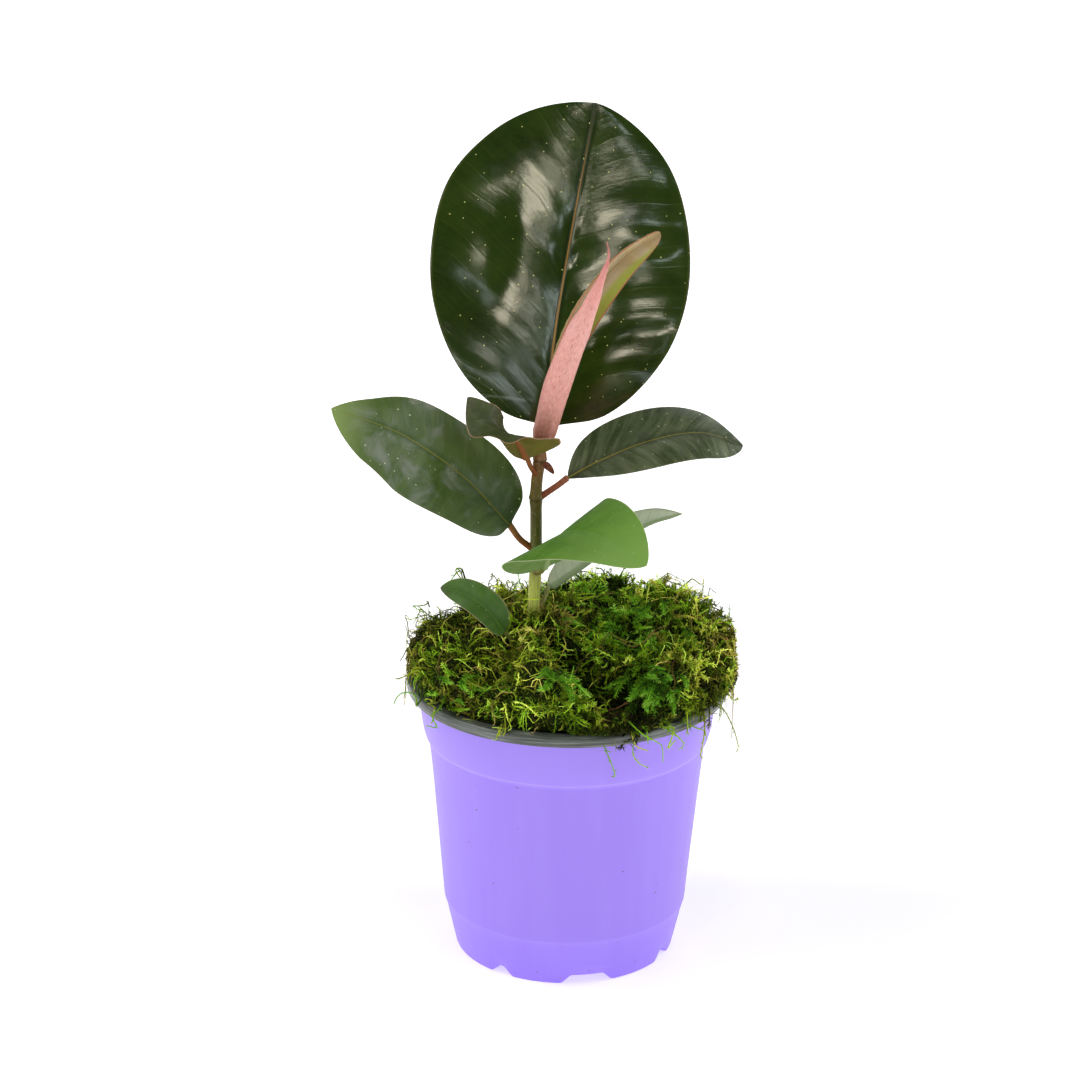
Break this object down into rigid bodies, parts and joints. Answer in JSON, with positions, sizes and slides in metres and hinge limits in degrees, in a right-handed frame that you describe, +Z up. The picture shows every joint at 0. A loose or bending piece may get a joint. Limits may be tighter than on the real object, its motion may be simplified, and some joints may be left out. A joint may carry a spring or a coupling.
{
  "type": "potted rubber plant",
  "caption": "Young rubber plant with broad glossy leaves, a pink bud sheath and a moss top dressing, standing in a round tapered nursery pot.",
  "frame": {"origin": "middle of the base of the whole plant's box, on the surface the pot stands on", "axes": "+Z up, -Y towards the front of the plant, +X to its right as seen from the front"},
  "size_m": [0.1374, 0.1352, 0.2747],
  "materials": {
    "pot_plastic": "satin",
    "soil": "matte",
    "stem": "satin",
    "big_leaf": "gloss",
    "left_leaf": "satin",
    "right_leaf": "satin",
    "front_leaf": "satin",
    "back_leaf": "matte",
    "low_leaf": "satin",
    "folded_leaf": "satin",
    "young_leaf": "satin",
    "sheath": "satin",
    "dried_stipule": "matte",
    "moss": "matte"
  },
  "bodies": {
    "root": {"pot": "pot_plastic", "potting_soil": "soil", "stem": "stem", "big_leaf": "big_leaf", "left_leaf": "left_leaf", "right_leaf": "right_leaf", "front_leaf": "front_leaf", "back_leaf": "back_leaf", "low_leaf": "low_leaf", "folded_leaf": "folded_leaf", "young_leaf": "young_leaf", "shoot_sheath": "sheath", "dried_stipule": "dried_stipule", "moss_right": "moss", "moss_back_right": "moss", "moss_back_left": "moss", "moss_left": "moss", "moss_front_left": "moss", "moss_front_right": "moss"}
  },
  "joints": []
}
